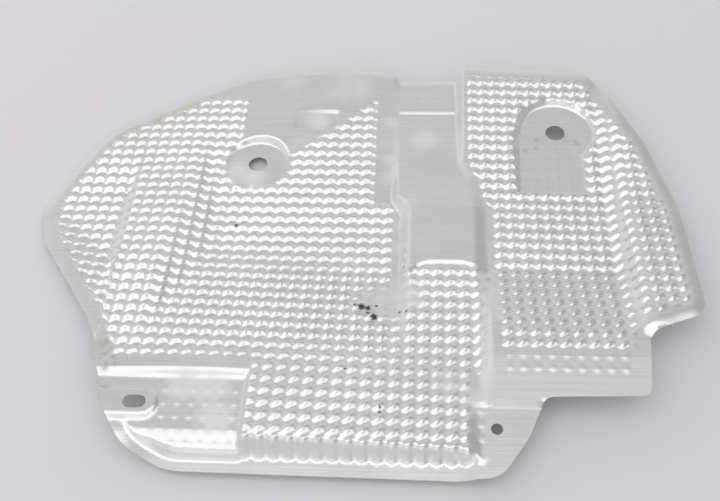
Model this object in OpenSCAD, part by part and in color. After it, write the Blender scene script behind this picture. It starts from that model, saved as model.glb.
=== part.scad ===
// Exhaust heat shield: one sheet of embossed aluminium, pressed to shape.
// The sheet lies with its bumps up, as on a bench. X runs to the right, Y to the
// rear and Z up. The origin is below the middle of the sheet's box, on the surface
// that its two low trays rest on. Places in plan are first given from a point near
// the bridge, and the finished sheet is moved to the origin.

/* [Sheet] */
// Thickness of the aluminium sheet
sheet_t = 0.8; // [0.6:0.1:1.2]
// Distance from one bump to the next, the same both ways
bump_pitch = 8; // [8:0.5:10]
// Height of the bumps from hollow to crest
bump_depth = 2; // [0.5:0.25:2.5]
// Plain border between the bumps and the edge of the sheet
border_w = 8; // [6:1:12]

/* [Trays] */
// Rise from the trays' floor to the ground between them, at the rear
deck_h = 11.5; // [9:0.5:14]
// Rise from the trays' floor to the front shelf
shelf_h = 15.9; // [13:0.1:18]
// Rise from the trays' floor to the plain ground behind the main tray
plateau_h = 8.6; // [6:0.1:11]
// Rise from the main tray's floor to the right tray's floor
step_h = 7.8; // [5:0.1:10]
// Rise from the right tray's floor to the rim at its right
rim_h = 5.2; // [3:0.1:7]

/* [Edges] */
// Rise from the trays' floor to the narrow flange along the front edge
front_edge_h = 4.2; // [2:0.2:8]
// Width of the narrow flange along the front edge
front_edge_w = 9; // [6:0.5:12]
// How far the rear and side edges are rolled down
lip_drop = 2; // [0.5:0.5:3]
// Width of the rolled rear and side edges
lip_w = 7; // [4:0.5:9]

/* [Causeway] */
// Height of the plain bridge over the trays' floor
bridge_h = 11.5; // [9:0.5:13]
// Height of the embossed tongue in front of the bridge over the trays' floor
tongue_h = 9.8; // [7:0.1:10.5]
// Height of the channel behind the bridge over the trays' floor
channel_h = 8.2; // [7:0.1:9]
// Step up in the channel's floor near its rear end
rear_step = 1.2; // [0.4:0.2:2]

/* [Holes] */
// Diameter of the two large bolt holes
bolt_hole_d = 13; // [9:0.5:14]
// Diameter of the small bolt hole at the front
small_hole_d = 6.5; // [5:0.5:8]
// Width of the slot
slot_w = 8; // [6:0.5:10]
// Length of the slot over its round ends
slot_l = 13; // [11:0.5:16]

/* [Seats] */
// Radius of the flat seat round the left bolt hole
left_seat_r = 19; // [15:1:21]
// Radius of the flat seat round the right bolt hole
right_seat_r = 24; // [20:1:26]
// Radius of the flat seat round the small bolt hole
small_seat_r = 10; // [8:0.5:11]
// Half width of the raised pad round the slot
slot_seat_r = 11; // [9:0.5:12]
// Width of the slope between a seat and the ground round it
seat_wall = 4; // [3:0.5:5]
// Depth of the shallow pocket behind the main tray
pocket_depth = 1.2; // [0.5:0.1:1.5]

/* [Hidden] */
$fn = 64;

// Corners of the sheet in plan, each with the radius of its bend
corners = [
    [-202, 8, 30], [-169, 78, 40], [-77, 134, 60], [-8, 137, 80], [34, 131, 20],
    [39.5, 127.3, 3], [75, 127.8, 3], [81, 129, 6], [171, 126, 14], [204, 60, 80],
    [217.5, 6, 80], [218.6, -80, 14], [184.5, -93.5, 12], [180, -133.2, 5],
    [123, -135.2, 8], [114, -156, 40], [97.5, -180, 16], [-82, -178.8, 40],
    [-107.5, -167.5, 30], [-121.5, -147, 20], [-136.5, -103, 20], [-146.5, -84, 40],
    [-189, -26, 30]
];
arc_steps = 6;

// Places of the holes, at the middle of each
left_hole = [-58.6, 47.4];
right_hole = [145.5, 72.6];
small_hole = [96.4, -152.4];
slot_at = [-103.8, -143.2];

// Upper face of the trays' floor over the bench
floor_z = sheet_t + bump_depth / 2;

function ramp(a, b, t) = max(0, min(1, (t - a) / (b - a)));
function mix(a, b, t) = a + (b - a) * t;
function over(t) = max(0, t);

// How deep p lies inside a field, given by its left, right, front and rear sides
function field_depth(p, f) = min(p.x - f[0], f[1] - p.x, p.y - f[2], f[3] - p.y);

// Distance past the line from a to b, counted to its left
function past_line(p, a, b) =
    ((b.x - a.x) * (p.y - a.y) - (b.y - a.y) * (p.x - a.x)) / norm(b - a);

// Distance from p to the straight piece from a to b
function to_piece(p, a, b) =
    let (t = ramp(0, 1, ((p - a) * (b - a)) / ((b - a) * (b - a))))
    norm(p - a - t * (b - a));

corner_at = [for (c = corners) [c.x, c.y]];
corner_n = len(corners);
function edge_distance(p) = min([for (i = [0 : corner_n - 1])
    to_piece(p, corner_at[i], corner_at[(i + 1) % corner_n])]);

// The arc that rounds corner i, tangent to both of its edges
function bend(i) =
    let (
        c = corner_at[i],
        u = corner_at[(i + corner_n - 1) % corner_n] - c,
        v = corner_at[(i + 1) % corner_n] - c,
        un = u / norm(u),
        vn = v / norm(v),
        half = acos(un * vn) / 2,
        tangent = min(corners[i][2] / tan(half), 0.48 * norm(u), 0.48 * norm(v)),
        r = tangent * tan(half),
        middle = c + (un + vn) / norm(un + vn) * r / sin(half),
        a0 = c + un * tangent - middle,
        turn = (180 - 2 * half) * sign(cross(v, u))
    )
    [for (k = [0 : arc_steps]) let (a = turn * k / arc_steps)
        middle + [a0.x * cos(a) - a0.y * sin(a), a0.x * sin(a) + a0.y * cos(a)]];
outline = [for (i = [0 : corner_n - 1]) each bend(i)];
outline_x = [for (p = outline) p.x];
outline_y = [for (p = outline) p.y];
box_mid = [min(outline_x) + max(outline_x), min(outline_y) + max(outline_y)] / 2;

// The ground between the trays, which leans down to the left and to the rear
deck_x = 40;
deck_level_y = 45;
deck_lean = [0.031, 0.055];
function deck_z(p) = floor_z + deck_h + deck_lean.x * (p.x - deck_x)
    + deck_lean.y * over(deck_level_y - p.y);

// The tray at the left end: it rises to the rear and to its nose, and its wall is
// at the right
wing_wall_x = -146;
wing_right_x = -136;
wing_wall = 0.9;
wing_rear_y = 15;
wing_rear = 0.15;
wing_nose_at = 178;
wing_nose = 0.21;
function wing_z(p) = floor_z + max(wing_rear * over(p.y - wing_rear_y),
                                   wing_nose * over(-p.x - p.y - wing_nose_at),
                                   wing_wall * over(p.x - wing_wall_x));

// The main tray: level floor, long rear slope, front slope up to the shelf, left wall
main_left_x = -77;
main_wall = 0.34;
main_turn_y = -40;
main_turn = 0.2;
main_rear_y = -10;
main_rear = 0.08;
main_front_y = -52;
main_front_h = 2.6;
main_front = 0.21;
main_twist = 0.034;
shelf_at = [-28, -112];
shelf_lean = [0.04, 0.055];
function shelf_z(p) = floor_z + shelf_h - shelf_lean.x * (p.x - shelf_at.x)
    - shelf_lean.y * (p.y - shelf_at.y);
function main_z(p) =
    let (
        rear = floor_z + main_rear * over(p.y - main_rear_y),
        front = floor_z + main_front_h - main_twist * (p.x - shelf_at.x)
            + main_front * (main_front_y - p.y),
        wall = floor_z + main_wall * (main_left_x - p.x + main_turn * over(main_turn_y - p.y))
    )
    max(rear, min(front, shelf_z(p)), wall, floor_z);

// The plain ground behind the main tray and round the left hole
plateau_edge = [[-38, 48], [22, 102]];
plateau_left_x = -72;
plateau_at_x = -60;
plateau_lean = 0.065;
plateau_wall = [-2, 28];
function plateau_z(p) = floor_z + plateau_h + plateau_lean * (p.x - plateau_at_x);
function on_plateau(p) = min(ramp(plateau_wall[0], plateau_wall[1],
                             past_line(p, plateau_edge[0], plateau_edge[1])),
                             ramp(-2, 2, p.x - plateau_left_x));

function left_z(p) =
    let (ground = min(deck_z(p), p.x < wing_right_x ? wing_z(p) : main_z(p)))
    mix(ground, plateau_z(p), on_plateau(p));

// The right tray: sloped to the rear and up to its front flange
right_x0 = 98;
right_lean = 0.03;
right_rear_y = 9;
right_rear = 0.115;
right_front_y = -43;
right_front = 0.25;
right_flange_y = -110;
right_flange_h = 19.7;
right_flange = 0.05;
function right_tray_z(p) =
    let (
        tray = floor_z + step_h - right_lean * (p.x - right_x0),
        flange = floor_z + right_flange_h - right_flange * over(right_flange_y - p.y)
    )
    max(tray + right_rear * over(p.y - right_rear_y),
        min(tray + right_front * over(right_front_y - p.y), flange));

// The rim at the right of the right tray, which rises to both of its ends
rim_foot_x = 173;
rim_x = 189;
rim_level_y = [10, 40];
rim_rise = [0.1, 0.11];
rim_front_y = [-100, -88];
function rim_z(p) = floor_z + step_h + rim_h
    + rim_rise[0] * over(rim_level_y[0] - p.y) + rim_rise[1] * over(p.y - rim_level_y[1]);
function right_z(p) = mix(right_tray_z(p), rim_z(p),
    ramp(rim_foot_x, rim_x, p.x) * ramp(rim_front_y[0], rim_front_y[1], p.y));

// The causeway from front to rear: the tongue with its arched end, the bridge and the
// channel, and its left wall, which stands further to the left at the channel
tongue_x = [67, 24];
tongue_rear_y = -37;
tongue_arch = 5;
channel_y = [0, 35];
rear_step_y = 93;
left_wall_y = [4, 18];
left_wall_x = [40, 33];
left_wall_w = [8, 7];
function tongue_end(p) = tongue_rear_y - tongue_arch * pow((p.x - tongue_x[0]) / tongue_x[1], 4);
function causeway_top(p) = floor_z
    + mix(tongue_h, bridge_h, ramp(-2, 2, p.y - tongue_end(p)))
    + (channel_h - bridge_h) * ramp(channel_y[0], channel_y[1], p.y)
    + rear_step * ramp(-1.5, 1.5, p.y - rear_step_y);
function causeway_z(p) =
    let (
        behind = ramp(left_wall_y[0], left_wall_y[1], p.y),
        foot = mix(left_wall_x[0], left_wall_x[1], behind),
        w = mix(left_wall_w[0], left_wall_w[1], behind),
        left = left_z(p),
        top = p.y < channel_y[0] ? max(left, causeway_top(p)) : causeway_top(p)
    )
    mix(left, top, ramp(foot, foot + w, p.x));

// The right side of the causeway: its wall's foot and width, at the bridge and at
// the channel
wall_y = [5, 45];
wall_foot_x = [97, 84];
wall_w = [11, 7];
function at_channel(p) = ramp(wall_y[0], wall_y[1], p.y);
function ground_z(p) =
    let (
        foot = mix(wall_foot_x[0], wall_foot_x[1], at_channel(p)),
        w = mix(wall_w[0], wall_w[1], at_channel(p))
    )
    p.x < left_wall_x[1] ? left_z(p)
    : p.x > right_x0 ? right_z(p)
    : mix(causeway_z(p), right_z(p), ramp(foot - w, foot, p.x));

// The low corner at the front right, which carries the small hole, and the low
// flange at the front left, which carries the slot
corner_h = 12;
corner_front = 0.07;
corner_side = [79, 89];
corner_rear_y = [-137, -141];
function corner_z(p) = floor_z + corner_h - corner_front * over(corner_rear_y[1] - p.y);
function on_corner(p) = min(ramp(corner_rear_y[0], corner_rear_y[1], p.y),
                            ramp(corner_side[0], corner_side[1], p.x));
flange_h = 13.6;
flange_lean = 0.025;
flange_step = 2.6;
flange_step_y = -158;
flange_side = [-40, -44];
flange_rear_y = [-121, -127];
function flange_z(p) = floor_z + flange_h - flange_lean * (flange_rear_y[0] - p.y)
    - flange_step * ramp(2, -2, p.y - flange_step_y);
function on_flange(p) = min(ramp(flange_rear_y[0], flange_rear_y[1], p.y),
                            ramp(flange_side[0], flange_side[1], p.x));
function pressed_z(p) =
    mix(mix(ground_z(p), corner_z(p), on_corner(p)), flange_z(p), on_flange(p));

// Flat seats round the holes, and the shallow pocket behind the main tray
left_seat_z = floor_z + 3.7;
right_seat_z = floor_z + 10.4;
small_seat_z = floor_z + 11.2;
slot_seat_z = floor_z + 15.2;
right_seat_sink = 0.5;
right_neck = [120, 160, 22, 70];
pocket = [-36, -4, 80, 99];
pocket_wall = 3;
function right_seat_depth(p) = max(right_seat_r - norm(p - right_hole),
                                   field_depth(p, right_neck));
function slot_seat_depth(p) = slot_seat_r
    - norm([over(p.x - slot_at.x - slot_w / 2), p.y - slot_at.y]);
function seated_z(p) =
    let (
        g = pressed_z(p),
        a = mix(left_seat_z, g, ramp(0, seat_wall, norm(p - left_hole) - left_seat_r)),
        b = mix(a, min(right_seat_z, a - right_seat_sink),
                ramp(-seat_wall, 0, right_seat_depth(p))),
        c = mix(small_seat_z, b, ramp(0, seat_wall, norm(p - small_hole) - small_seat_r)),
        d = mix(c, slot_seat_z, ramp(-seat_wall, 0, slot_seat_depth(p)))
    )
    d - pocket_depth * ramp(0, pocket_wall, field_depth(p, pocket));

// The edges: rolled down at the rear and the sides, and a narrow flange along the
// front, with a steep wall up to the block and a lower one up to the slot's flange
rolled_y = [-105, -85];
front_y = [-136, -150];
front_right_x = [112, 72];
front_left_x = [-118, -84];
front_edge_rise = 0.1;
front_wall = [1.3, 4];
function front_z(p, d) =
    let (at_block = ramp(flange_side[1], flange_side[0], p.x))
    floor_z + front_edge_h + front_edge_rise * d
        + mix(front_wall[0], front_wall[1], at_block) * over(d - front_edge_w);
function plain_z(p) =
    let (
        d = edge_distance(p),
        ground = seated_z(p),
        rolled = ground - lip_drop * ramp(lip_w, 0, d) * ramp(rolled_y[0], rolled_y[1], p.y),
        front = min(ramp(front_y[0], front_y[1], p.y),
                    ramp(front_right_x[0], front_right_x[1], p.x),
                    ramp(front_left_x[0], front_left_x[1], p.x))
    )
    max(sheet_t, mix(rolled, min(ground, front_z(p, d)), front));

// Where the sheet is embossed: fields by their left, right, front and rear sides, two
// of them cut off along a slanted line, and the seats left plain
bump_y0 = 2;
fade_w = 3;
whole_fields = [
    [-204, -70, -114, 110], [-82, 21, -114, 50], [8, 40, -114, 15], [41, 91, -120, -38],
    [30, 56, -120, -58], [-42, 83, -176, -100], [98, 220, -108, 16], [147, 176, -118, -100]
];
rear_field = [-60, 21, 30, 108];
right_field = [84, 220, 0, 130];
right_field_edge = [[84, 45], [97, 5]];
function bump_field(p) = max(concat(
    [for (f = whole_fields) field_depth(p, f)],
    [min(field_depth(p, rear_field), past_line(p, plateau_edge[1], plateau_edge[0]) - 1),
     min(field_depth(p, right_field),
         past_line(p, right_field_edge[0], right_field_edge[1]))]));
function bumps(p) = min(
    ramp(0, fade_w, bump_field(p)),
    ramp(0, fade_w, edge_distance(p) - border_w),
    ramp(0, fade_w, norm(p - left_hole) - left_seat_r - 2),
    ramp(0, fade_w, -1 - right_seat_depth(p)),
    ramp(0, fade_w, -1 - slot_seat_depth(p)));
function wave(p) = bump_depth / 4
    * (cos(360 * p.x / bump_pitch) + cos(360 * (p.y - bump_y0) / bump_pitch));
function sheet_z(p) = plain_z(p) + bumps(p) * wave(p);

// The net: columns half a pitch apart, with points on the crests in one column
// and in the hollows in the next. It reaches a little past the outline.
half_pitch = bump_pitch / 2;
margin = 0.4;
inset = 0.5;
left_x = min([for (c = corners) c.x]);
right_x = max([for (c = corners) c.x]);
first_col = floor((left_x - margin) / half_pitch);
last_col = ceil((right_x + margin) / half_pitch);

// Where the upright line at x cuts the outline
function cuts(x) = [for (i = [0 : corner_n - 1])
    let (a = corner_at[i], b = corner_at[(i + 1) % corner_n])
    if ((a.x - x) * (b.x - x) <= 0 && a.x != b.x)
        mix(a.y, b.y, (x - a.x) / (b.x - a.x))];
function reach(x) =
    let (
        near = [for (s = [-half_pitch, 0, half_pitch])
            each cuts(max(left_x + inset, min(right_x - inset, x + s)))]
    )
    [min(near) - margin, max(near) + margin];

// A point is left out well outside the outline, and where the sheet is plain and
// nearly straight round it, but not close to a hole, so that the seats stay flat
even_tol = 0.5;
hole_ground = 13;
function fold(p, q) = abs(plain_z(p + q) + plain_z(p - q) - 2 * plain_z(p));
function to_hole(p) = min([for (h = [left_hole, right_hole, small_hole, slot_at]) norm(p - h)]);
function even_round(p) = bumps(p) == 0 && to_hole(p) > hole_ground
    && fold(p, [half_pitch, 0]) < even_tol && fold(p, [0, half_pitch]) < even_tol;

function column(i) =
    let (
        x = i * half_pitch,
        ends = reach(x),
        own = cuts(max(left_x + inset, min(right_x - inset, x))),
        near = [min(own) - half_pitch, max(own) + half_pitch],
        shift = bump_y0 + (i % 2 == 0 ? 0 : half_pitch),
        j0 = floor((ends[0] - shift) / bump_pitch),
        j1 = ceil((ends[1] - shift) / bump_pitch)
    )
    [for (j = [j0 : j1]) let (p = [x, shift + j * bump_pitch])
        if (j == j0 || j == j1 || (p.y > near[0] && p.y < near[1] && !even_round(p))) p];
columns = [for (i = [first_col : last_col]) column(i)];
col_n = len(columns);
function starts(k = 0, n = 0, out = []) =
    k == col_n ? out : starts(k + 1, n + len(columns[k]), concat(out, [n]));
first_of = starts();
point_n = first_of[col_n - 1] + len(columns[col_n - 1]);

// The triangles between column k and the next, laid like a zip. Each is given as the
// column that holds its edge, 0 or 1, the edge's lower and upper point, and its apex.
function zip(k) =
    let (a = columns[k], b = columns[k + 1], fa = first_of[k], fb = first_of[k + 1])
    [for (i = 0, j = 0, up = b[1].y > a[1].y;
          i + j < len(a) + len(b) - 2;
          step = up,
          i = step ? i + 1 : i,
          j = step ? j : j + 1,
          up = j == len(b) - 1 || (i < len(a) - 1 && a[i + 1].y <= b[j + 1].y))
        up ? [0, fa + i, fa + i + 1, fb + j] : [1, fb + j, fb + j + 1, fa + i]];
zips = [for (k = [0 : col_n - 2]) zip(k)];

// Between two crests the sheet dips, so there the edge runs across from hollow to
// hollow. On plain ground it runs whichever way lies closer to the sheet.
net_points = [for (c = columns) each c];
function edge_error(a, b) =
    abs(sheet_z(a) + sheet_z(b) - 2 * sheet_z((a + b) / 2));
function runs_across(low, high, left, right) =
    let (a = net_points[low], b = net_points[high],
         l = net_points[left], r = net_points[right])
    l.y == r.y && l.y > a.y && l.y < b.y
        && (bumps((a + b) / 2) > 0 || edge_error(l, r) < edge_error(a, b));
function crest_column(k) =
    let (
        lefts = [for (t = zips[k - 1]) if (t[0] == 1) t],
        rights = [for (t = zips[k]) if (t[0] == 0) t]
    )
    [for (m = [0 : len(lefts) - 1])
        let (low = rights[m][1], high = rights[m][2], left = lefts[m][3], right = rights[m][3])
        each runs_across(low, high, left, right)
            ? [[low, left, right], [high, right, left]]
            : [[low, left, high], [low, high, right]]];
function is_crest(k) = (first_col + k) % 2 == 0;
top_faces = [for (k = [0 : col_n - 2])
    each concat(
        k > 0 && is_crest(k) ? crest_column(k) : [],
        [for (t = zips[k])
            if (t[0] == 0 && !(k > 0 && is_crest(k))) [t[1], t[2], t[3]]
            else if (t[0] == 1 && !(k < col_n - 2 && is_crest(k + 1))) [t[1], t[3], t[2]]])];
low_faces = [for (f = top_faces) [f[0], f[2], f[1]] + point_n * [1, 1, 1]];

// The rim of the net, once round all its columns
rim = concat(
    [for (k = [0 : col_n - 1]) first_of[k]],
    [for (m = [1 : len(columns[col_n - 1]) - 1]) first_of[col_n - 1] + m],
    [for (k = [col_n - 2 : -1 : 0]) first_of[k] + len(columns[k]) - 1],
    [for (m = [len(columns[0]) - 2 : -1 : 1]) m]);
rim_n = len(rim);
side_faces = [for (k = [0 : rim_n - 1]) let (a = rim[k], b = rim[(k + 1) % rim_n])
    each [[a, b, b + point_n], [a, b + point_n, a + point_n]]];

module pressed_net() {
    upper = [for (c = columns) each [for (p = c) [p.x, p.y, sheet_z(p)]]];
    lower = [for (p = upper) p - [0, 0, sheet_t]];
    polyhedron(points = concat(upper, lower),
               faces = concat(top_faces, low_faces, side_faces), convexity = 8);
}

// A cutter's height, well over the sheet's
tall = 4 * (floor_z + shelf_h);
module round_hole(at, d) {
    translate([at.x, at.y, -tall / 2]) cylinder(d = d, h = tall);
}
module slot_hole() {
    run = slot_l - slot_w;
    for (s = [-1, 1]) round_hole(slot_at + [s * run / 2, 0], slot_w);
    translate([slot_at.x - run / 2, slot_at.y - slot_w / 2, -tall / 2])
        cube([run, slot_w, tall]);
}

module shield_sheet() {
    color([0.78, 0.79, 0.8])
    translate([-box_mid.x, -box_mid.y, 0])
    difference() {
        intersection() {
            pressed_net();
            translate([0, 0, -tall / 2]) linear_extrude(tall) polygon(outline);
        }
        round_hole(left_hole, bolt_hole_d);
        round_hole(right_hole, bolt_hole_d);
        round_hole(small_hole, small_hole_d);
        slot_hole();
    }
}

shield_sheet();
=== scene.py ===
"""Exhaust heat shield: one sheet of embossed aluminium, pressed into trays and ramps.

Sizes are in millimetres, in the plan frame of the part's source: X to the right, Y to
the rear, Z up from the bench. The finished mesh is moved to the middle of the outline's
box and turned into metres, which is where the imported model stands.
"""

import bpy
import numpy as np
from mathutils import Matrix
from mathutils.geometry import delaunay_2d_cdt


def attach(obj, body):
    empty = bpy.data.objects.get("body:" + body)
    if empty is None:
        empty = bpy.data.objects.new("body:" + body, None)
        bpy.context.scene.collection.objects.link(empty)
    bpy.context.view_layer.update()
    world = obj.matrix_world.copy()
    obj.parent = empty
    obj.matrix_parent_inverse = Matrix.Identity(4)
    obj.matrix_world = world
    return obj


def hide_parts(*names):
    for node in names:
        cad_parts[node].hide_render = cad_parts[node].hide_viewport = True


MM = 0.001

# The sheet
SHEET_T = 0.8
PITCH = 8.0
BUMP_DEPTH = 2.7
HOLLOW = 1.0
DIMPLE_H = 0.35
DIMPLE_CUT = 0.3
BORDER_W = 8.0
FRONT_BORDER_W = 7.0
BLOCK_BORDER_W = 13.0
FLOOR_Z = SHEET_T + HOLLOW

# Rises over the trays' floor
DECK_H = 11.5
SHELF_H = 15.9
PLATEAU_H = 8.6
STEP_H = 7.8
RIM_H = 5.2
BRIDGE_H = 11.5
TONGUE_H = 10.4
CHANNEL_H = 8.2
REAR_STEP = 1.2

# Rolled edges
FRONT_EDGE_H = 4.2
FRONT_EDGE_W = (6.4, 9.0)
LIP_DROP = 2.0
LIP_W = 7.0
LIP_POWER = 1.5

# Holes and their seats
LEFT_HOLE = (-58.6, 47.4)
RIGHT_HOLE = (145.5, 72.6)
SMALL_HOLE = (96.4, -152.4)
SLOT_AT = (-103.8, -143.2)
BOLT_HOLE_D = 13.0
SMALL_HOLE_D = 6.5
SLOT_W = 8.0
SLOT_L = 13.0
LEFT_SEAT_R = 19.0
RIGHT_SEAT_R = 24.0
SLOT_SEAT_R = 7.5
SLOT_SEAT_WALL = 2.4
SEAT_WALL = 4.0
POCKET_DEPTH = 0.8

# Corners of the sheet in plan, each with the radius of its bend
CORNERS = (
    (-202, 8, 30), (-169, 78, 40), (-77, 134, 60), (-8, 137, 80), (34, 131, 20),
    (39.5, 127.3, 3), (75, 127.8, 3), (81, 129, 6), (171, 126, 14), (204, 60, 80),
    (217.5, 6, 80), (218.6, -80, 14), (184.5, -93.5, 12), (180, -133.2, 5),
    (123, -135.2, 8), (114, -156, 40), (97.5, -180, 16), (-82, -178.8, 40),
    (-107.5, -167.5, 30), (-121.5, -147, 20), (-136.5, -103, 20), (-146.5, -84, 40),
    (-189, -26, 30)
)
BEND_STEPS = 10
BEND_REACH = 0.48

# Mesh fineness, and how many steps its inner points stay clear of the edge and the holes
STEP = 4 / 3
UNDER_STEP = 2.0
RING_STEP = 1.5
SHARP_ANGLE = 60
ROUND_STEPS = 32
SLOT_END_STEPS = 12
EDGE_CLEAR = 0.5
HOLE_CLEAR = 0.6
TINY = 1e-9
WELD = 1e-6


def ramp(a, b, t):
    """Rises from 0 at a to 1 at b as the smooth cubic 3s^2 - 2s^3."""
    s = np.clip((t - a) / (b - a), 0, 1)
    return s * s * (3 - 2 * s)


def straight(a, b, t):
    """Rises from 0 at a to 1 at b in a straight line."""
    return np.clip((t - a) / (b - a), 0, 1)


def mix(a, b, t):
    return a + (b - a) * t


def over(t):
    return np.maximum(t, 0)


def higher(a, b, fillet=1.6):
    """The larger of a and b, with their crossing filled by a parabola."""
    return np.maximum(a, b) + over(fillet - np.abs(a - b)) ** 2 / (4 * fillet)


def lower(a, b, fillet=1.6):
    """The smaller of a and b, with their crossing rounded by a parabola."""
    return np.minimum(a, b) - over(fillet - np.abs(a - b)) ** 2 / (4 * fillet)


def field_depth(x, y, field):
    """How deep a point lies inside a field, given by left, right, front and rear."""
    left, right, front, rear = field
    return np.minimum(np.minimum(x - left, right - x), np.minimum(y - front, rear - y))


def past_line(x, y, a, b):
    """Distance past the line from a to b, counted to its left."""
    run = (b[0] - a[0], b[1] - a[1])
    return (run[0] * (y - a[1]) - run[1] * (x - a[0])) / np.hypot(*run)


def away(x, y, place):
    return np.hypot(x - place[0], y - place[1])


def bend(i):
    """The arc that rounds corner i, tangent to both of its edges, of which it takes up no
    more than BEND_REACH."""
    n = len(CORNERS)
    c = np.array(CORNERS[i][:2], float)
    u = np.array(CORNERS[(i - 1) % n][:2], float) - c
    v = np.array(CORNERS[(i + 1) % n][:2], float) - c
    un = u / np.hypot(*u)
    vn = v / np.hypot(*v)
    half = np.arccos(un @ vn) / 2
    most = BEND_REACH * min(np.hypot(*u), np.hypot(*v))
    tangent = min(CORNERS[i][2] / np.tan(half), most)
    middle = c + (un + vn) / np.hypot(*(un + vn)) * tangent / np.cos(half)
    start = c + un * tangent - middle
    turn = (np.pi - 2 * half) * np.sign(v[0] * u[1] - v[1] * u[0])
    a = turn * np.arange(BEND_STEPS + 1) / BEND_STEPS
    return middle + np.stack([start[0] * np.cos(a) - start[1] * np.sin(a),
                              start[0] * np.sin(a) + start[1] * np.cos(a)], axis=1)


def even_ring(points, step):
    """The closed line through the points, walked in even steps."""
    closed = np.vstack([points, points[:1]])
    along = np.concatenate([[0], np.cumsum(np.hypot(*np.diff(closed, axis=0).T))])
    keep = np.concatenate([[True], np.diff(along) > TINY])
    n = int(round(along[-1] / step))
    s = np.arange(n) / n * along[-1]
    return np.stack([np.interp(s, along[keep], closed[keep, k]) for k in (0, 1)], axis=1)


OUTLINE = np.vstack([bend(i) for i in range(len(CORNERS))])
RING = even_ring(OUTLINE, RING_STEP)
BOX_MID = (OUTLINE.min(axis=0) + OUTLINE.max(axis=0)) / 2


def edge_distance(x, y):
    """Distance to the sheet's edge, the least over the straight pieces of its outline."""
    nearest = np.full(np.shape(x), np.inf)
    for a, b in zip(OUTLINE, np.roll(OUTLINE, -1, axis=0)):
        e = b - a
        if e @ e > TINY:
            t = np.clip(((x - a[0]) * e[0] + (y - a[1]) * e[1]) / (e @ e), 0, 1)
            nearest = np.minimum(nearest, np.hypot(x - a[0] - t * e[0], y - a[1] - t * e[1]))
    return nearest


def inside(x, y, ring):
    """True inside a closed ring: an odd number of its pieces lie to the right."""
    odd = np.zeros(np.shape(x), bool)
    for a, b in zip(ring, np.roll(ring, -1, axis=0)):
        if a[1] != b[1]:
            crosses = (a[1] > y) != (b[1] > y)
            odd ^= crosses & (x < a[0] + (b[0] - a[0]) * (y - a[1]) / (b[1] - a[1]))
    return odd


# The ground between the trays leans down to the left and to the rear
DECK_X = 40
DECK_LEVEL_Y = 45
DECK_LEAN = (0.031, 0.055)


def deck_z(x, y):
    return FLOOR_Z + DECK_H + DECK_LEAN[0] * (x - DECK_X) + DECK_LEAN[1] * over(DECK_LEVEL_Y - y)


# The tray at the left end rises to the rear and to its nose, with a wall at its right
WING_WALL_X = -146
WING_RIGHT_X = -136
WING_JOIN_W = 1
WING_WALL = 0.9
WING_REAR_Y = 15
WING_REAR = 0.15
WING_NOSE_AT = 178
WING_NOSE = 0.21


def wing_z(x, y):
    rear = WING_REAR * over(y - WING_REAR_Y)
    nose = WING_NOSE * over(-x - y - WING_NOSE_AT)
    wall = WING_WALL * over(x - WING_WALL_X)
    return FLOOR_Z + higher(higher(rear, nose), wall)


# The main tray: level floor, long rear slope, front slope up to the shelf, left wall
MAIN_LEFT_X = -77
MAIN_WALL = 0.34
MAIN_TURN_Y = -40
MAIN_TURN = 0.2
MAIN_REAR_Y = -10
MAIN_REAR = 0.08
MAIN_FRONT_Y = -52
MAIN_FRONT_H = 3.9
MAIN_FRONT = 0.175
MAIN_TWIST = 0.034
SHELF_AT = (-28, -112)
SHELF_LEAN = (0.04, 0.055)


def main_z(x, y):
    rear = FLOOR_Z + MAIN_REAR * over(y - MAIN_REAR_Y)
    front = (FLOOR_Z + MAIN_FRONT_H - MAIN_TWIST * (x - SHELF_AT[0])
             + MAIN_FRONT * (MAIN_FRONT_Y - y))
    shelf = (FLOOR_Z + SHELF_H - SHELF_LEAN[0] * (x - SHELF_AT[0])
             - SHELF_LEAN[1] * (y - SHELF_AT[1]))
    wall = FLOOR_Z + MAIN_WALL * (MAIN_LEFT_X - x + MAIN_TURN * over(MAIN_TURN_Y - y))
    return higher(higher(rear, lower(front, shelf)), higher(wall, FLOOR_Z))


# The plain ground behind the main tray and round the left hole
PLATEAU_EDGE = ((-38, 48), (22, 102))
PLATEAU_LEFT_X = -72
PLATEAU_LEFT_W = 2
PLATEAU_AT_X = -60
PLATEAU_LEAN = 0.065
PLATEAU_WALL = (-2, 28)


def left_z(x, y):
    tray = mix(main_z(x, y), wing_z(x, y), straight(0, -WING_JOIN_W, x - WING_RIGHT_X))
    ground = lower(deck_z(x, y), tray)
    plateau = FLOOR_Z + PLATEAU_H + PLATEAU_LEAN * (x - PLATEAU_AT_X)
    there = np.minimum(ramp(*PLATEAU_WALL, past_line(x, y, *PLATEAU_EDGE)),
                       ramp(-PLATEAU_LEFT_W, PLATEAU_LEFT_W, x - PLATEAU_LEFT_X))
    return mix(ground, plateau, there)


# The right tray, its front flange, and the rim at its right
RIGHT_X0 = 98
RIGHT_LEAN = 0.03
RIGHT_REAR_Y = 9
RIGHT_REAR = 0.115
RIGHT_FRONT_Y = -43
RIGHT_FRONT = 0.25
RIGHT_FLANGE_Y = -110
RIGHT_FLANGE_H = 19.7
RIGHT_FLANGE = 0.09
RIM_FOOT_X = 173
RIM_X = 189
RIM_LEVEL_Y = (10, 40)
RIM_RISE = (0.1, 0.11)
RIM_FRONT_Y = (-100, -88)


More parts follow.
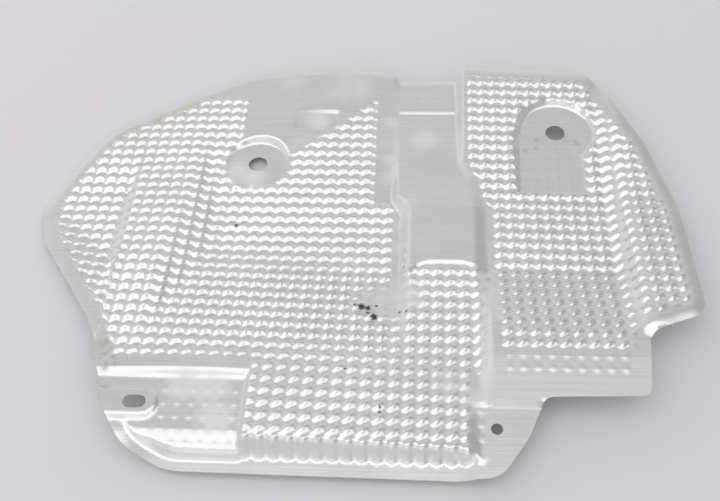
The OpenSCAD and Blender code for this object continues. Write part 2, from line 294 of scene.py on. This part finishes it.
def right_z(x, y):
    tray = FLOOR_Z + STEP_H - RIGHT_LEAN * (x - RIGHT_X0)
    flange = FLOOR_Z + RIGHT_FLANGE_H - RIGHT_FLANGE * over(RIGHT_FLANGE_Y - y)
    front = lower(tray + RIGHT_FRONT * over(RIGHT_FRONT_Y - y), flange)
    tray = higher(tray + RIGHT_REAR * over(y - RIGHT_REAR_Y), front)
    rim = (FLOOR_Z + STEP_H + RIM_H + RIM_RISE[0] * over(RIM_LEVEL_Y[0] - y)
           + RIM_RISE[1] * over(y - RIM_LEVEL_Y[1]))
    return mix(tray, rim, ramp(RIM_FOOT_X, RIM_X, x) * ramp(*RIM_FRONT_Y, y))


# The causeway from front to rear: the tongue, given by its middle and half width, with
# its arched end, then the bridge and the channel, and its left wall, which stands further
# to the left at the channel
TONGUE_X = (70, 24)
TONGUE_REAR_Y = -40
TONGUE_ARCH = 11
ARCH_W = 1
CHANNEL_Y = (0, 35)
REAR_STEP_Y = 93
REAR_STEP_W = 1.5
LEFT_WALL_Y = (4, 18)
LEFT_WALL_X = (40, 33)
LEFT_WALL_W = (8, 7)


def causeway_z(x, y):
    end = TONGUE_REAR_Y - TONGUE_ARCH * ((x - TONGUE_X[0]) / TONGUE_X[1]) ** 4
    top = (FLOOR_Z + mix(TONGUE_H, BRIDGE_H, ramp(-ARCH_W, ARCH_W, y - end))
           + (CHANNEL_H - BRIDGE_H) * ramp(*CHANNEL_Y, y)
           + REAR_STEP * ramp(-REAR_STEP_W, REAR_STEP_W, y - REAR_STEP_Y))
    left = left_z(x, y)
    top = np.where(y < CHANNEL_Y[0], higher(left, top), top)
    behind = ramp(*LEFT_WALL_Y, y)
    foot = mix(*LEFT_WALL_X, behind)
    return mix(left, top, ramp(0, 1, (x - foot) / mix(*LEFT_WALL_W, behind)))


# The right side of the causeway: its wall's foot and width, at the bridge and at the
# channel
WALL_Y = (5, 45)
WALL_FOOT_X = (97, 84)
WALL_W = (11, 7)


def ground_z(x, y):
    at_channel = straight(*WALL_Y, y)
    foot = mix(*WALL_FOOT_X, at_channel)
    width = mix(*WALL_W, at_channel)
    middle = mix(causeway_z(x, y), right_z(x, y), ramp(0, 1, (x - foot + width) / width))
    return np.where(x < LEFT_WALL_X[1], left_z(x, y),
                    np.where(x > RIGHT_X0, right_z(x, y), middle))


# The low corner at the front right and the low flange at the front left
CORNER_H = 11.8
CORNER_FRONT = 0.05
CORNER_SIDE = (79, 89)
CORNER_REAR_Y = (-138, -138 - STEP)
FLANGE_H = 13.6
FLANGE_LEAN = 0.025
FLANGE_STEP = 1.5
FLANGE_STEP_Y = -163
FLANGE_STEP_W = 5.5
FLANGE_SIDE = (-40, -44)
FLANGE_REAR_Y = (-121, -127)


def pressed_z(x, y):
    corner = FLOOR_Z + CORNER_H - CORNER_FRONT * over(CORNER_REAR_Y[1] - y)
    on_corner = np.minimum(straight(*CORNER_REAR_Y, y), ramp(*CORNER_SIDE, x))
    flange = (FLOOR_Z + FLANGE_H - FLANGE_LEAN * (FLANGE_REAR_Y[0] - y)
              - FLANGE_STEP * ramp(FLANGE_STEP_W, -FLANGE_STEP_W, y - FLANGE_STEP_Y))
    on_flange = np.minimum(ramp(*FLANGE_REAR_Y, y), ramp(*FLANGE_SIDE, x))
    return mix(mix(ground_z(x, y), corner, on_corner), flange, on_flange)


# Flat seats round the holes, and the shallow pocket behind the main tray
LEFT_SEAT_Z = FLOOR_Z + 3.7
RIGHT_SEAT_Z = FLOOR_Z + 10.4
SLOT_SEAT_Z = FLOOR_Z + 15.2
RIGHT_SEAT_SINK = 0.5
RIGHT_SEAT_LEAN = 0.07
RIGHT_SEAT_FILLET = 4
RIGHT_NECK = (120, 160, 22, 70)
POCKET = (-36, -4, 75, 94)
POCKET_WALL = 2


def right_seat_depth(x, y):
    return np.maximum(RIGHT_SEAT_R - away(x, y, RIGHT_HOLE), field_depth(x, y, RIGHT_NECK))


def slot_seat_depth(x, y):
    return SLOT_SEAT_R - np.hypot(over(x - SLOT_AT[0] - SLOT_W / 2), y - SLOT_AT[1])


def seated_z(x, y):
    ground = pressed_z(x, y)
    z = mix(LEFT_SEAT_Z, ground, ramp(0, SEAT_WALL, away(x, y, LEFT_HOLE) - LEFT_SEAT_R))
    seat = RIGHT_SEAT_Z + RIGHT_SEAT_LEAN * (y - RIGHT_HOLE[1])
    z = mix(z, lower(seat, z - RIGHT_SEAT_SINK, RIGHT_SEAT_FILLET),
            ramp(-SEAT_WALL, 0, right_seat_depth(x, y)))
    return z - POCKET_DEPTH * ramp(0, POCKET_WALL, field_depth(x, y, POCKET))


# The edges: rolled down at the rear and the sides, and a narrow flange along the front,
# with a steep fluted wall up to the block and a less steep one up to the slot's flange
ROLLED_Y = (-105, -85)
FRONT_Y = (-136, -150)
FRONT_RIGHT_X = (98, 74)
FRONT_LEFT_X = (-116, -84)
FRONT_EDGE_RISE = 0.06
FRONT_WALL = (1.5, 2)
FLUTE = 0.9
FRONT_FADE = 9
FRONT_FILLET = (1.6, 2.6)


def edged_z(x, y, edge):
    """The ground with its edges: rolled as (1 - distance / width) to LIP_POWER, and
    in front no higher than a wall that rises behind the narrow flange. The wall's foot
    runs in and out by a wave along X."""
    ground = seated_z(x, y)
    rolled = ground - LIP_DROP * over(1 - edge / LIP_W) ** LIP_POWER * ramp(*ROLLED_Y, y)
    at_block = straight(*FLANGE_SIDE[::-1], x)
    flute = FLUTE * at_block * np.cos(2 * np.pi / PITCH * x)
    behind = edge - mix(*FRONT_EDGE_W, at_block) + flute
    front = np.minimum(straight(*FRONT_Y, y), ramp(*FRONT_RIGHT_X, x))
    front = np.minimum(front, ramp(*FRONT_LEFT_X, x))
    wall = (FLOOR_Z + FRONT_EDGE_H + FRONT_EDGE_RISE * edge + FRONT_FADE * (1 - front)
            + mix(*FRONT_WALL, at_block) * over(behind))
    z = np.where(front > 0, lower(rolled, wall, mix(*FRONT_FILLET, at_block)), rolled)
    z = mix(z, SLOT_SEAT_Z, ramp(-SLOT_SEAT_WALL, 0, slot_seat_depth(x, y)))
    return np.maximum(z, SHEET_T)


# Where the sheet is embossed: fields by left, right, front and rear, two of them cut
# off along a slanted line, and the seats left plain; and where the tool has pressed the
# embossing nearly flat, which leaves faint dimples
BUMP_Y0 = 2
FADE_W = 3
SEAT_MARGIN = 1
LEFT_SEAT_MARGIN = 2
REAR_FIELD_MARGIN = 4
WHOLE_FIELDS = (
    (-204, -70, -114, 110), (-82, 24, -114, 50), (8, 38, -114, 15), (41, 91, -120, -42),
    (30, 56, -120, -58), (-42, 83, -176, -100), (98, 220, -108, 16)
)
FAINT_FIELDS = (
    (-114, -40, -172, -126), (102, 176, -124, -104), (118, 162, 20, 62), (78, 92, -166, -138)
)
FAINT_RING_W = 4
REAR_FIELD = (-60, 24, 30, 108)
RIGHT_FIELD = (84, 220, 0, 130)
RIGHT_FIELD_EDGE = ((84, 45), (97, 5))

# The bumps are deeper on the main tray's front slope, and nearly gone where the sheet is
# worn: within an oval, by how many times its half sides a point is away from its middle
DRAWN = 0.25
DRAWN_Y = (-108, -96, -36, -48)
DRAWN_X = (44, 30)
WORN_AT = (34, -66)
WORN_R = (22, 14)
WORN_EDGE = (0.6, 1.2)
WORN_LEFT = 0.3


def bump_field(x, y):
    fields = [field_depth(x, y, field) for field in WHOLE_FIELDS]
    fields.append(np.minimum(field_depth(x, y, REAR_FIELD),
                             past_line(x, y, PLATEAU_EDGE[1], PLATEAU_EDGE[0])
                             + REAR_FIELD_MARGIN))
    fields.append(np.minimum(field_depth(x, y, RIGHT_FIELD),
                             past_line(x, y, *RIGHT_FIELD_EDGE)))
    return np.maximum.reduce(fields)


def bumps(x, y, edge):
    """How far the embossing has come up, from 0 on plain ground to 1, and the same for
    the dimples that are left where it is pressed nearly flat."""
    front_border = mix(FRONT_BORDER_W, BLOCK_BORDER_W, straight(*FLANGE_SIDE[::-1], x))
    border = mix(BORDER_W, front_border, straight(*FRONT_Y, y))
    whole = np.minimum.reduce((bump_field(x, y), edge - border,
                               -SEAT_MARGIN - right_seat_depth(x, y),
                               away(x, y, LEFT_HOLE) - LEFT_SEAT_R - LEFT_SEAT_MARGIN))
    faint = np.maximum.reduce([field_depth(x, y, field) for field in FAINT_FIELDS])
    faint = np.maximum(faint, FAINT_RING_W - np.abs(away(x, y, LEFT_HOLE) - LEFT_SEAT_R))
    faint = np.minimum.reduce((faint, edge - FRONT_BORDER_W,
                               -SEAT_MARGIN - slot_seat_depth(x, y)))
    worn = np.hypot((x - WORN_AT[0]) / WORN_R[0], (y - WORN_AT[1]) / WORN_R[1])
    deeper = np.minimum(ramp(*DRAWN_Y[:2], y), ramp(*DRAWN_Y[2:], y)) * ramp(*DRAWN_X, x)
    whole = ramp(0, FADE_W, whole) * (1 + DRAWN * deeper)
    dimpled = ramp(0, FADE_W, faint) * (1 - whole)
    return whole * mix(WORN_LEFT, 1, ramp(*WORN_EDGE, worn)), dimpled


# The bumps' form, and where the crests of a row stand apart: on the block, on the tongue
# and, half as much, over the right of the main tray and all that lies beyond it
CROSS = 0.4
SLANT = 0.3
DRIFT = 0.6
PEAK = 0.8
GAP = 0.55
APART_BLOCK_X = (-60, -30)
APART_BLOCK_Y = (-108, -122)
APART_TONGUE_X = (30, 44)
APART_TONGUE_Y = (-50, -75)
APART_RIGHT = 0.5
APART_RIGHT_X = (-60, 10)


def peaked(t):
    """A cosine with straighter sides: asin(PEAK cos t) / asin(PEAK)."""
    return np.arcsin(PEAK * np.cos(t)) / np.arcsin(PEAK)


def apart(x, y):
    """How far the crests of a row stand apart, from 0 where they run together to 1."""
    block = ramp(*APART_BLOCK_Y, y) * ramp(*APART_BLOCK_X, x)
    tongue = ramp(*APART_TONGUE_Y, y) * ramp(*APART_TONGUE_X, x)
    return np.maximum.reduce((block, tongue, APART_RIGHT * ramp(*APART_RIGHT_X, x)))


def wave(x, y):
    """A crest in each cell: CROSS times a wave along X, plus a wave along Y whose phase
    runs on by DRIFT sin u, plus a weaker one across the diagonal. The last two draw the
    crests out towards the rear right. Where the crests stand apart, the wave along Y is
    lower between them, by up to GAP."""
    u = 2 * np.pi / PITCH * x
    v = 2 * np.pi / PITCH * (y - BUMP_Y0) - DRIFT * np.sin(u)
    rows = peaked(v) * (1 - GAP * apart(x, y) * (1 - np.cos(u)) / 2)
    crest = (CROSS * peaked(u) + rows) / (1 + CROSS) + SLANT * (np.cos(u - v) - 1) / 2
    return BUMP_DEPTH / 2 * (crest + 1) - HOLLOW


def dimples(x, y):
    """A round bump in each cell: what (cos u + cos v) / 2 has over DIMPLE_CUT."""
    u = 2 * np.pi / PITCH * x
    v = 2 * np.pi / PITCH * (y - BUMP_Y0)
    return DIMPLE_H * over((np.cos(u) + np.cos(v)) / 2 - DIMPLE_CUT) / (1 - DIMPLE_CUT)


def sheet_z(x, y):
    """Upper face: the pressed ground with its edges, plus the embossing."""
    edge = edge_distance(x, y)
    whole, faint = bumps(x, y, edge)
    return edged_z(x, y, edge) + whole * wave(x, y) + faint * dimples(x, y)


# Marks, each with its place in plan and its radius: smudges, which at the left tab's edge (X
# from -131 to -119) are painted shade, a dark line where the groove at the lip's wall lies in
# shade; specks of soot, ground that the press has rubbed dull, and a yellow stain
SMUDGES_AND_SHADE = (
    (117, 55, 5), (125, 57, 4), (133, 66, 3), (132, 59, 3), (152, 68, 5), (159, 64, 5),
    (93, -44, 4), (95, -52, 3), (93, -62, 4), (92, -73, 3), (91, -82, 4), (22, -74, 8),
    (-123, -133, 5), (-131, -107, 5), (-128, -114, 5), (-125, -122, 5),
    (-131, -98, 3), (-128, -104, 3), (-125, -110, 3), (-122, -115, 3), (-113, 84, 3),
    (-119, -120, 3)
)
SPECKS = (
    (-67, -5, 3), (42, -75, 2.2), (12, -119, 1.8), (33, -143, 2), (33, -146, 2.2),
    (38, -164, 1.6), (13, -117, 1.5), (15, -70, 2.4), (19, -71, 4.6), (23, -72, 3),
    (23, -76, 2.4), (27, -79, 4.4), (28, -70, 2), (46, -76, 2.2), (44, -41, 1.6),
    (31, -104, 1.6), (2, -60, 1.6), (60, -97, 1.5), (101, -28, 1.5), (8, -141, 1.6)
)
DULL = (
    (-5, 116, 22), (8, 114, 16), (31, 84, 10), (31, 68, 10), (31, 52, 10), (31, 36, 10),
    (43, -6, 9), (43, -20, 9), (-72, 42, 14), (-60, 36, 14), (40, -66, 22), (-34, 124, 20),
    (70, -126, 14), (84, -136, 12), (-62, -134, 16), (-78, -130, 14), (-58, -150, 14),
    (52, 8, 14), (56, 66, 16), (-10, 128, 20), (-20, 86, 12)
)
YELLOW = ((-150, 74, 18), (-132, 88, 18), (-116, 98, 16), (-125, -125, 9),
          (-132, -108, 10))


def spots(x, y, places):
    """The greatest of the bells (1 - (d / r)^2)^2 round the places."""
    return np.max([over(1 - (away(x, y, p) / p[2]) ** 2) ** 2 for p in places], axis=0)


def mark(mesh, x, y, rest):
    """Lays the marks on the upper face's points, which come first. The rest of the points,
    on the under face, have none."""
    soot = np.max([over(1 - away(x, y, p) / p[2]) for p in SPECKS], axis=0)
    marks = {"smudge_and_shade": spots(x, y, SMUDGES_AND_SHADE), "soot": soot, "dull": spots(x, y, DULL),
             "yellow": spots(x, y, YELLOW)}
    for name, values in marks.items():
        layer = mesh.attributes.new(name, "FLOAT", "POINT")
        layer.data.foreach_set("value", np.concatenate([values, np.zeros(rest)]))


def round_ring(place, d):
    a = np.arange(ROUND_STEPS) / ROUND_STEPS * 2 * np.pi
    return np.array(place) + d / 2 * np.stack([np.cos(a), np.sin(a)], axis=1)


def slot_ring():
    """Two half rounds, at the ends of the slot's straight sides."""
    a = np.linspace(-np.pi / 2, np.pi / 2, SLOT_END_STEPS + 1)
    end = SLOT_W / 2 * np.stack([np.cos(a), np.sin(a)], axis=1)
    run = np.array(((SLOT_L - SLOT_W) / 2, 0))
    return np.array(SLOT_AT) + np.vstack([end + run, -end - run])


def hole_rings():
    return [round_ring(LEFT_HOLE, BOLT_HOLE_D), round_ring(RIGHT_HOLE, BOLT_HOLE_D),
            round_ring(SMALL_HOLE, SMALL_HOLE_D), slot_ring()]


def lattice(step):
    """Rows a step apart, each second row moved over by half a step."""
    low = RING.min(axis=0)
    high = RING.max(axis=0)
    rows = np.arange(np.floor((low[1] - BUMP_Y0) / step), np.ceil((high[1] - BUMP_Y0) / step))
    cols = np.arange(np.floor(low[0] / step), np.ceil(high[0] / step))
    col, row = np.meshgrid(cols, rows)
    return np.stack([((col + (row % 2) / 2) * step).ravel(), (BUMP_Y0 + row * step).ravel()],
                    axis=1)


def ring_edges(first, count):
    return [(first + k, first + (k + 1) % count) for k in range(count)]


def sheet_net(step):
    """Plan points and triangles between the outline and the holes, all turned left. The
    points of the outline and of the holes come first, whatever the step."""
    rings = [RING] + hole_rings()
    points = lattice(step)
    x, y = points.T
    keep = inside(x, y, RING) & (edge_distance(x, y) > EDGE_CLEAR * step)
    for ring in rings[1:]:
        spacing = np.hypot(*(ring[0] - ring[1]))
        near = np.min([away(x, y, p) for p in ring], axis=0)
        keep &= ~inside(x, y, ring) & (near > HOLE_CLEAR * (spacing + step) / 2)
    edges = []
    first = 0
    for ring in rings:
        edges += ring_edges(first, len(ring))
        first += len(ring)
    flat = np.vstack(rings + [points[keep]])
    out = delaunay_2d_cdt(flat.tolist(), edges, [], 0, WELD, False)
    flat = np.array([(v.x, v.y) for v in out[0]])
    tris = np.array(out[2])
    cx, cy = flat[tris].mean(axis=1).T
    keep = inside(cx, cy, RING)
    for ring in rings[1:]:
        keep &= ~inside(cx, cy, ring)
    tris = tris[keep]
    u = flat[tris[:, 1]] - flat[tris[:, 0]]
    v = flat[tris[:, 2]] - flat[tris[:, 0]]
    right = u[:, 0] * v[:, 1] < u[:, 1] * v[:, 0]
    tris[right] = tris[right][:, ::-1]
    return flat, tris


def rim_quads(tris, n):
    """Walls between the upper and the lower face, at each edge that one triangle has."""
    edges = np.vstack([tris[:, (0, 1)], tris[:, (1, 2)], tris[:, (2, 0)]])
    key = np.sort(edges, axis=1)
    _, back, count = np.unique(key, axis=0, return_inverse=True, return_counts=True)
    a, b = edges[count[back.ravel()] == 1].T
    return np.stack([b, a, a + n, b + n], axis=1)


def make_sheet():
    """An upper face and a coarser under face a sheet's thickness lower, joined by walls
    along the outline and the holes, where their points match."""
    flat, tris = sheet_net(STEP)
    under, under_tris = sheet_net(UNDER_STEP)
    n = len(flat)
    upper_face = np.column_stack([flat - BOX_MID, sheet_z(*flat.T)])
    under_face = np.column_stack([under - BOX_MID, sheet_z(*under.T) - SHEET_T])
    quads = rim_quads(tris, n)
    mesh = bpy.data.meshes.new("heat_shield")
    mesh.from_pydata((np.vstack([upper_face, under_face]) * MM).tolist(), [],
                     tris.tolist() + (under_tris[:, ::-1] + n).tolist() + quads.tolist())
    mesh.shade_smooth()
    mesh.set_sharp_from_angle(angle=np.radians(SHARP_ANGLE))
    mark(mesh, *flat.T, len(under))
    piece = bpy.data.objects.new("heat_shield", mesh)
    bpy.context.scene.collection.objects.link(piece)
    return piece


# The camera, as fitted to the photograph: place in the plan frame, heading, fall and
# roll in degrees, and lens
CAMERA_AT = (51.84, -374.56, 458.82)
CAMERA_HEADING = -5.92
CAMERA_FALL = 52.35
CAMERA_ROLL = -3.85
FOCAL_PX = 900
PHOTO_W = 720
SENSOR_W = 36


def make_camera():
    heading, fall, roll = np.radians((CAMERA_HEADING, CAMERA_FALL, CAMERA_ROLL))
    ahead = np.array((np.sin(heading) * np.cos(fall), np.cos(heading) * np.cos(fall),
                      -np.sin(fall)))
    side = np.array((np.cos(heading), -np.sin(heading), 0))
    up = np.cross(side, ahead)
    right = np.cos(roll) * side + np.sin(roll) * up
    top = -np.sin(roll) * side + np.cos(roll) * up
    data = bpy.data.cameras.new("camera")
    data.sensor_width = SENSOR_W
    data.lens = SENSOR_W * FOCAL_PX / PHOTO_W
    data.clip_start = 0.01
    camera = bpy.data.objects.new("camera", data)
    place = (np.array(CAMERA_AT) - (*BOX_MID, 0)) * MM
    camera.matrix_world = Matrix([[right[k], top[k], -ahead[k], place[k]] for k in range(3)]
                                 + [[0, 0, 0, 1]])
    bpy.context.scene.collection.objects.link(camera)
    bpy.context.scene.camera = camera


class Shading:
    """A material in the making, with short ways to add the usual nodes."""

    def __init__(self, name):
        self.material = bpy.data.materials.new(name)
        self.material.use_nodes = True
        self.nodes = self.material.node_tree.nodes
        self.links = self.material.node_tree.links
        self.shader = self.nodes["Principled BSDF"]
        self.place = self.nodes.new("ShaderNodeTexCoord").outputs["Object"]

    def feed(self, socket, value):
        """Links another node's output to the socket, or sets a plain value."""
        if isinstance(value, bpy.types.NodeSocket):
            self.links.new(value, socket)
        else:
            socket.default_value = value

    def calc(self, operation, a, b):
        node = self.nodes.new("ShaderNodeMath")
        node.operation = operation
        self.feed(node.inputs[0], a)
        self.feed(node.inputs[1], b)
        return node.outputs["Value"]

    def plus(self, a, b):
        return self.calc("ADD", a, b)

    def times(self, a, b):
        return self.calc("MULTIPLY", a, b)

    def noise(self, scale, detail, stretch=(1, 1, 1)):
        mapping = self.nodes.new("ShaderNodeMapping")
        mapping.inputs["Scale"].default_value = stretch
        self.links.new(self.place, mapping.inputs["Vector"])
        node = self.nodes.new("ShaderNodeTexNoise")
        node.inputs["Scale"].default_value = scale
        node.inputs["Detail"].default_value = detail
        self.links.new(mapping.outputs["Vector"], node.inputs["Vector"])
        return node.outputs["Fac"]

    def spread(self, value, low, high):
        """Runs from 0 at low to 1 at high, and no further."""
        node = self.nodes.new("ShaderNodeMapRange")
        node.inputs["From Min"].default_value = low
        node.inputs["From Max"].default_value = high
        self.links.new(value, node.inputs["Value"])
        return node.outputs["Result"]

    def blend(self, share, a, b):
        """Colour a, going over to colour b by the share."""
        node = self.nodes.new("ShaderNodeMix")
        node.data_type = "RGBA"
        self.links.new(share, node.inputs["Factor"])
        self.feed(node.inputs[6], a)
        self.feed(node.inputs[7], b)
        return node.outputs[2]

    def layer(self, name):
        """A mark that the mesh carries on its points."""
        node = self.nodes.new("ShaderNodeAttribute")
        node.attribute_name = name
        return node.outputs["Fac"]


# The metal's two tones, the colours of its marks, the fineness of its patterns, and how
# rough it is: everywhere, by its tone, where it is dull and where it is smudged
METAL_TONES = ((0.83, 0.84, 0.83, 1), (0.93, 0.92, 0.935, 1))
YELLOW_STAIN = (0.83, 0.80, 0.66, 1)
# The smudge grey also paints the shade in the groove at the left tab's edge.
SMUDGE_AND_SHADE_GREY = (0.34, 0.34, 0.33, 1)
SOOT_BLACK = (0.10, 0.10, 0.10, 1)
ROLLING_STRETCH = (14, 800, 14)
CLOUD_SCALE = 32
GRAIN_SCALE = 900
SMUDGE_AND_SHADE_SCALE = 260
SOOT_SCALE = 1100
ROUGHNESS = 0.2
ROUGHER_BY_TONE = 0.12
ROUGHER_IF_DULL = 0.5
ROUGHER_IF_SMUDGED = 0.25
RELIEF_STRENGTH = 0.12
RELIEF_DEPTH = 0.0003


def aluminium():
    """Rolled sheet: fine lines along X, cloudy patches, a fine grain, and the marks, whose
    smudge grey also paints shade in the groove at the left tab's edge.
    """
    metal = Shading("mill_aluminium")
    lines = metal.noise(1, 3, ROLLING_STRETCH)
    clouds = metal.noise(CLOUD_SCALE, 4)
    grain = metal.noise(GRAIN_SCALE, 2)
    tone = metal.plus(metal.times(lines, 0.5), metal.times(clouds, 0.5))
    patchy = metal.spread(clouds, 0.3, 0.6)
    smudge_and_shade_blotches = metal.spread(metal.noise(SMUDGE_AND_SHADE_SCALE, 3), 0.35, 0.6)

    yellow = metal.times(metal.layer("yellow"), patchy)
    smudge_and_shade = metal.times(metal.layer("smudge_and_shade"), smudge_and_shade_blotches)
    soot = metal.plus(metal.layer("soot"), metal.noise(SOOT_SCALE, 3))
    dull = metal.times(metal.layer("dull"), patchy)

    colour = metal.blend(metal.spread(tone, 0.35, 0.65), *METAL_TONES)
    colour = metal.blend(metal.times(yellow, 0.6), colour, YELLOW_STAIN)
    # Smudges, and painted shade in the groove at the left tab's edge
    colour = metal.blend(metal.times(smudge_and_shade, 0.55), colour, SMUDGE_AND_SHADE_GREY)
    colour = metal.blend(metal.spread(soot, 0.96, 1.12), colour, SOOT_BLACK)

    rough = metal.plus(metal.times(tone, ROUGHER_BY_TONE), ROUGHNESS)
    rough = metal.plus(rough, metal.times(dull, ROUGHER_IF_DULL))
    rough = metal.plus(rough, metal.times(smudge_and_shade, ROUGHER_IF_SMUDGED))

    relief = metal.nodes.new("ShaderNodeBump")
    relief.inputs["Strength"].default_value = RELIEF_STRENGTH
    relief.inputs["Distance"].default_value = RELIEF_DEPTH
    metal.links.new(metal.plus(lines, metal.times(grain, 0.4)), relief.inputs["Height"])

    metal.shader.inputs["Metallic"].default_value = 1
    metal.links.new(colour, metal.shader.inputs["Base Color"])
    metal.links.new(rough, metal.shader.inputs["Roughness"])
    metal.links.new(relief.outputs["Normal"], metal.shader.inputs["Normal"])
    return metal.material


# The paper on the bench: its half side in metres, its colours with painted light, brighter and
# pinker at the left and darker and greyer at the right, between which places it turns from one
# to the other, and how far the turn leans
PAPER_HALF = 4.0
PAPER_PAINTED_LIGHT = ((0.90, 0.87, 0.91, 1), (0.76, 0.775, 0.78, 1))
PAPER_TURN = (-0.6, 0.45)
PAPER_TURN_LEAN = 0.8
PAPER_ROUGHNESS = 0.9


def make_floor():
    mesh = bpy.data.meshes.new("bench")
    half = PAPER_HALF
    mesh.from_pydata([(-half, -half, 0), (half, -half, 0), (half, half, 0), (-half, half, 0)],
                     [], [(0, 1, 2, 3)])
    paper = Shading("bench_paper")
    paper.shader.inputs["Roughness"].default_value = PAPER_ROUGHNESS
    parts = paper.nodes.new("ShaderNodeSeparateXYZ")
    paper.links.new(paper.place, parts.inputs["Vector"])
    lean = paper.times(parts.outputs["Y"], PAPER_TURN_LEAN)
    across = paper.calc("SUBTRACT", parts.outputs["X"], lean)
    # Painted light: the paper is brighter at the left and darker at the right.
    colour = paper.blend(paper.spread(across, *PAPER_TURN), *PAPER_PAINTED_LIGHT)
    paper.links.new(colour, paper.shader.inputs["Base Color"])
    mesh.materials.append(paper.material)
    floor = bpy.data.objects.new("bench", mesh)
    bpy.context.scene.collection.objects.link(floor)


# Two soft lights, each with its place in metres, the way it shines, the way its upper
# side points, its width and height, and its power
LIGHTS = {
    "overhead": ((0, -1.96, 6), (0, 0, -1), (0, 1, 0), (12.5, 6.6), 155),
    "front": ((0, -5.4, 3), (0, 1, 0), (0, 0, 1), (8, 5), 24)
}
LIGHT_TINT = (1, 0.99, 1)


def area_light(name, place, shines, up, size, power):
    data = bpy.data.lights.new(name, "AREA")
    data.shape = "RECTANGLE"
    data.size, data.size_y = size
    data.energy = power
    data.color = LIGHT_TINT
    light = bpy.data.objects.new(name, data)
    back = -np.array(shines, float)
    side = np.cross(up, back)
    light.matrix_world = Matrix([[side[k], up[k], back[k], place[k]] for k in range(3)]
                                + [[0, 0, 0, 1]])
    bpy.context.scene.collection.objects.link(light)


# The room's level by how far a direction points sideways, from left to right, times its
# level at the horizon and straight up
ROOM_SHADES = ((0.12, 0.64), (0.32, 0.59), (0.62, 0.58), (0.82, 0.38))
ROOM_HEIGHT = (1.28, 0.92)
ROOM_BLUE = 1.01


def make_room():
    world = bpy.data.worlds.new("room")
    bpy.context.scene.world = world
    world.use_nodes = True
    nodes, links = world.node_tree.nodes, world.node_tree.links
    background = nodes["Background"]
    coords = nodes.new("ShaderNodeTexCoord")
    parts = nodes.new("ShaderNodeSeparateXYZ")
    links.new(coords.outputs["Generated"], parts.inputs["Vector"])
    sideways = nodes.new("ShaderNodeMapRange")
    sideways.inputs["From Min"].default_value = -1
    links.new(parts.outputs["X"], sideways.inputs["Value"])
    shade = nodes.new("ShaderNodeValToRGB")
    links.new(sideways.outputs["Result"], shade.inputs["Fac"])
    stops = shade.color_ramp.elements
    while len(stops) < len(ROOM_SHADES):
        stops.new(0.5)
    for stop, (place, level) in zip(stops, ROOM_SHADES):
        stop.position = place
        stop.color = (level, level, level * ROOM_BLUE, 1)
    links.new(shade.outputs["Color"], background.inputs["Color"])
    height = nodes.new("ShaderNodeMapRange")
    height.inputs["To Min"].default_value, height.inputs["To Max"].default_value = ROOM_HEIGHT
    links.new(parts.outputs["Z"], height.inputs["Value"])
    links.new(height.outputs["Result"], background.inputs["Strength"])


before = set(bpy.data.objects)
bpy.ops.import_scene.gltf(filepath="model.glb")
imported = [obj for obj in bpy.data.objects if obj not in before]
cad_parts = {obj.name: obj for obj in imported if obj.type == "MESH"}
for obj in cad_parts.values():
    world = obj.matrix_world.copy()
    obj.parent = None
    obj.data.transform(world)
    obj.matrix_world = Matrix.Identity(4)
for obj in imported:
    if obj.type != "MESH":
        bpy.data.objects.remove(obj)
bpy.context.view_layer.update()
make_camera()
sheet = make_sheet()
sheet.data.materials.append(aluminium())
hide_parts("shield_sheet")
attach(sheet, "root")
make_floor()
make_room()
for name, settings in LIGHTS.items():
    area_light(name, *settings)
bpy.context.scene.view_settings.view_transform = "Standard"
